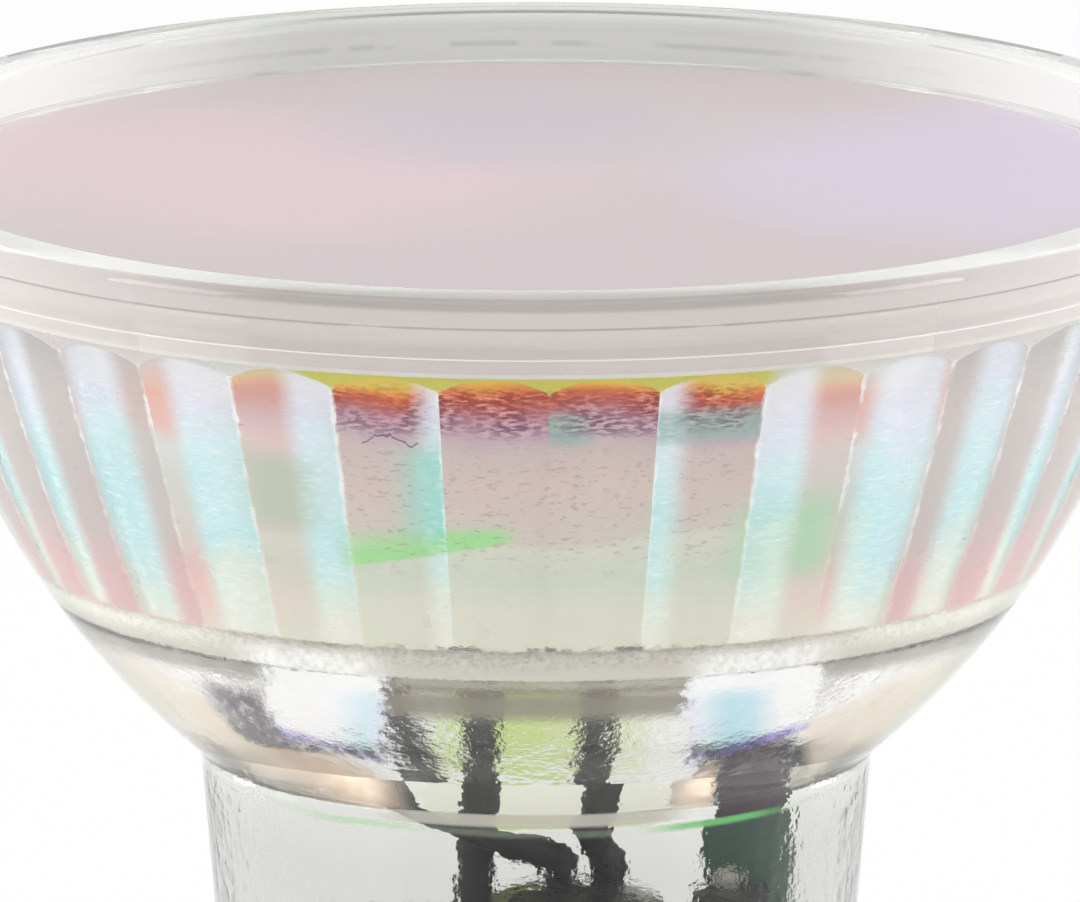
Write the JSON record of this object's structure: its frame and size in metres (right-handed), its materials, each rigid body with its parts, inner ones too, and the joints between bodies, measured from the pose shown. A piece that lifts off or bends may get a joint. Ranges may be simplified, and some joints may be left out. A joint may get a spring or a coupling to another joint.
{
  "type": "gu10 spotlight bulb",
  "caption": "Glass reflector spotlight bulb with an opal front lens, a fluted bowl, a clear neck round its driver, and twist-lock contact pins in its base.",
  "frame": {"origin": "centre of the cap's end face, midway between the two pins", "axes": "+Z along the lamp's axis to the light face; the pins stand along X and point to -Z"},
  "size_m": [0.05, 0.05, 0.054],
  "materials": {
    "reflector_glass": "clear pressed glass with a hammered shoulder and a thin pearly coating inside the bowl",
    "lens_opal": "opal, satin, faintly pink and lilac",
    "silicone": "translucent set silicone",
    "board_white": "white mask on aluminium",
    "led_package": "white moulding with a yellow phosphor face",
    "lead_sleeve": "black insulation",
    "tinned_copper": "bright tinned wire",
    "solder": "bright solder",
    "board_green": "dark green mask, paler glass fibre at the edges",
    "can_aluminium": "bright drawn aluminium",
    "capacitor_sleeve": "black shrunk sleeve",
    "bung_rubber": "black rubber",
    "ferrite": "sintered, dark grey",
    "winding_copper": "enamelled copper",
    "moulding_black": "fine grained black moulding",
    "resistor_black": "dark glaze with bright ends",
    "ceramic_tan": "fired tan ceramic with bright ends",
    "film_brown": "dark purple-brown dipped coating",
    "fuse_coat": "grey-green coat",
    "potting_white": "set white compound",
    "pin_nickel": "nickel-plated brass",
    "washer_steel": "plated steel"
  },
  "bodies": {
    "root": {"base_potting": "potting_white", "board_bond": "silicone", "bridge_rectifier": "moulding_black", "bridge_rectifier_feet": "tinned_copper", "bulk_capacitor_bung": "bung_rubber", "bulk_capacitor_can": "can_aluminium", "bulk_capacitor_legs": "tinned_copper", "bulk_capacitor_sleeve": "capacitor_sleeve", "chip_capacitors": "ceramic_tan", "chip_resistors": "resistor_black", "choke_core": "ferrite", "choke_legs": "tinned_copper", "choke_winding": "winding_copper", "driver_board": "board_green", "driver_chip": "moulding_black", "driver_chip_feet": "tinned_copper", "driver_solder": "solder", "film_capacitor": "film_brown", "film_capacitor_legs": "tinned_copper", "front_lens": "lens_opal", "fuse_resistor": "fuse_coat", "fuse_resistor_lead": "tinned_copper", "led_01": "led_package", "led_02": "led_package", "led_03": "led_package", "led_04": "led_package", "led_05": "led_package", "led_06": "led_package", "led_07": "led_package", "led_08": "led_package", "led_09": "led_package", "led_10": "led_package", "led_board": "board_white", "led_board_solder": "solder", "led_lead_1": "lead_sleeve", "led_lead_2": "lead_sleeve", "led_lead_3": "lead_sleeve", "led_lead_ends": "tinned_copper", "lens_bond": "silicone", "mains_lead_left": "tinned_copper", "mains_lead_right": "tinned_copper", "mains_solder": "solder", "pin_left": "pin_nickel", "pin_right": "pin_nickel", "pin_washer_left": "washer_steel", "pin_washer_right": "washer_steel", "rectifier_diode": "moulding_black", "rectifier_diode_feet": "tinned_copper", "reflector_glass": "reflector_glass"}
  },
  "joints": []
}
